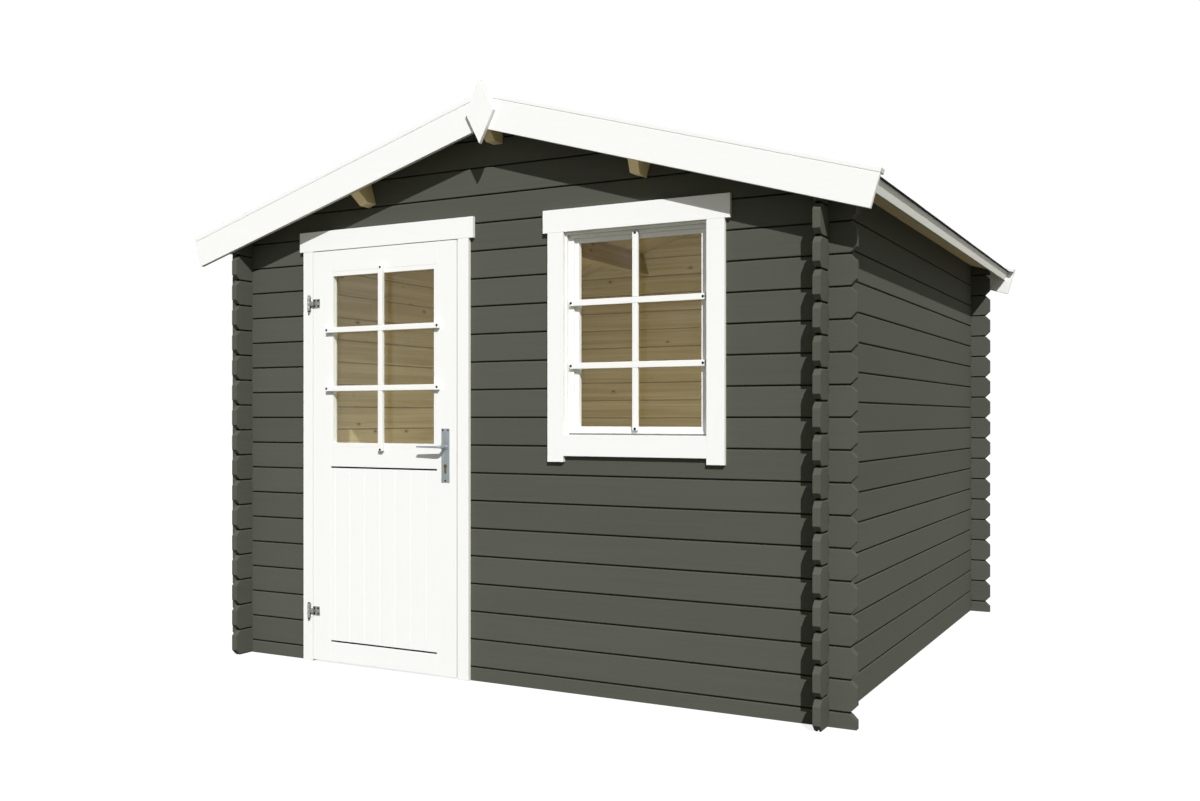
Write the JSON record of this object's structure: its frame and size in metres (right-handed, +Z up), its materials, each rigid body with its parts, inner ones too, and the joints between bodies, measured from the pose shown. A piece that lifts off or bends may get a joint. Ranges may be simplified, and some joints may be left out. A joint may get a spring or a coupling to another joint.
{
  "type": "garden shed",
  "caption": "Log-built garden shed with interlocking corners, a gable roof in black felt, white trim, a part-glazed hinged door with a lever handle, and a fixed barred window.",
  "frame": {"origin": "on the ground at the middle of the footprint", "axes": "+Z up, the door front faces -Y, +X to the right seen from the front"},
  "size_m": [3.215, 3.052, 2.4475],
  "materials": {
    "painted_logs": "matt grey paint outside, bare pine inside",
    "white_paint": "satin white paint",
    "bare_pine": "planed, bare",
    "roof_felt": "mineral-faced bitumen felt, matt",
    "glass": "clear",
    "steel": "satin"
  },
  "bodies": {
    "shed": {"left_wall_logs": "painted_logs", "right_wall_logs": "painted_logs", "back_wall_logs": "painted_logs", "back_gable_logs": "painted_logs", "logs_left_of_door": "painted_logs", "logs_below_window": "painted_logs", "logs_beside_door": "painted_logs", "logs_right_of_window": "painted_logs", "front_gable_logs": "painted_logs", "ridge_purlin": "bare_pine", "side_purlins": "bare_pine", "left_roof_boards": "bare_pine", "right_roof_boards": "bare_pine", "roof_felt": "roof_felt", "front_bargeboards": "white_paint", "back_bargeboards": "white_paint", "front_verge_strips": "white_paint", "back_verge_strips": "white_paint", "gable_diamonds": "white_paint", "eave_laths": "white_paint", "door_hinge_jamb": "white_paint", "door_latch_jamb": "white_paint", "door_head": "white_paint", "door_threshold": "bare_pine", "door_side_casings": "white_paint", "door_head_casing": "white_paint", "door_inner_casings": "white_paint", "hinge_plates": "steel", "window_frame": "white_paint", "window_sash": "white_paint", "window_glass": "glass", "window_side_casings": "white_paint", "window_head_casing": "white_paint", "window_apron": "white_paint", "floor_bearers": "bare_pine", "floor_boards": "bare_pine"},
    "door": {"door_stiles": "white_paint", "door_rails": "white_paint", "door_panel": "white_paint", "door_beads": "white_paint", "door_glass": "glass", "hinge_leaves": "steel", "lock_plates": "steel"},
    "handle": {"lever_handle": "steel"}
  },
  "joints": [
    {"name": "door_swing", "type": "hinge", "parent": "shed", "child": "door", "pos_m": [-0.99, -1.419, 1], "axis": [0, 0, -1], "range_deg": [0, 150]},
    {"name": "handle_turn", "type": "hinge", "parent": "door", "child": "handle", "pos_m": [-0.248, -1.388, 0.97], "axis": [0, -1, 0], "range_deg": [0, 45], "stiffness_Nm_per_rad": 2, "springref_deg": -17.19}
  ]
}
